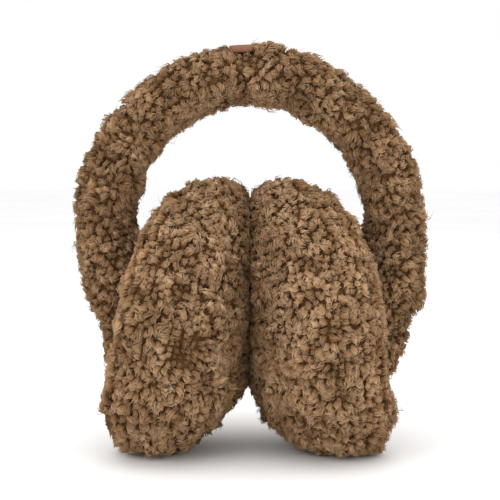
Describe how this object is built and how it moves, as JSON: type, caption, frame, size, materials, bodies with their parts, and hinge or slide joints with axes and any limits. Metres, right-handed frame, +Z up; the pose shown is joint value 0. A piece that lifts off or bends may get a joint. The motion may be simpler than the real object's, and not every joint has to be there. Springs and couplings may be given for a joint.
{
  "type": "fur earmuffs",
  "caption": "Curly brown fur earmuffs with a fur-covered arched headband, thick fur ear cushions with outer covers and a small bare leather tab on the crown, standing on the pads.",
  "frame": {"origin": "on the floor under the middle of the earmuffs, midway between the two pads", "axes": "+Z up towards the crown of the headband, +X towards the right pad as the picture shows it, +Y away from the camera"},
  "size_m": [0.1758, 0.1181, 0.204],
  "materials": {
    "band_fur": "deep curly fur, matt",
    "pad_fur": "deep curly fur, matt",
    "cover_fur": "deep curly fur, matt",
    "tab_leather": "smooth leather, half matt"
  },
  "bodies": {
    "root": {"headband_sleeve": "band_fur", "crown_tab": "tab_leather", "left_ear_cushion": "pad_fur", "right_ear_cushion": "pad_fur", "left_outer_cover": "cover_fur", "right_outer_cover": "cover_fur"}
  },
  "joints": []
}
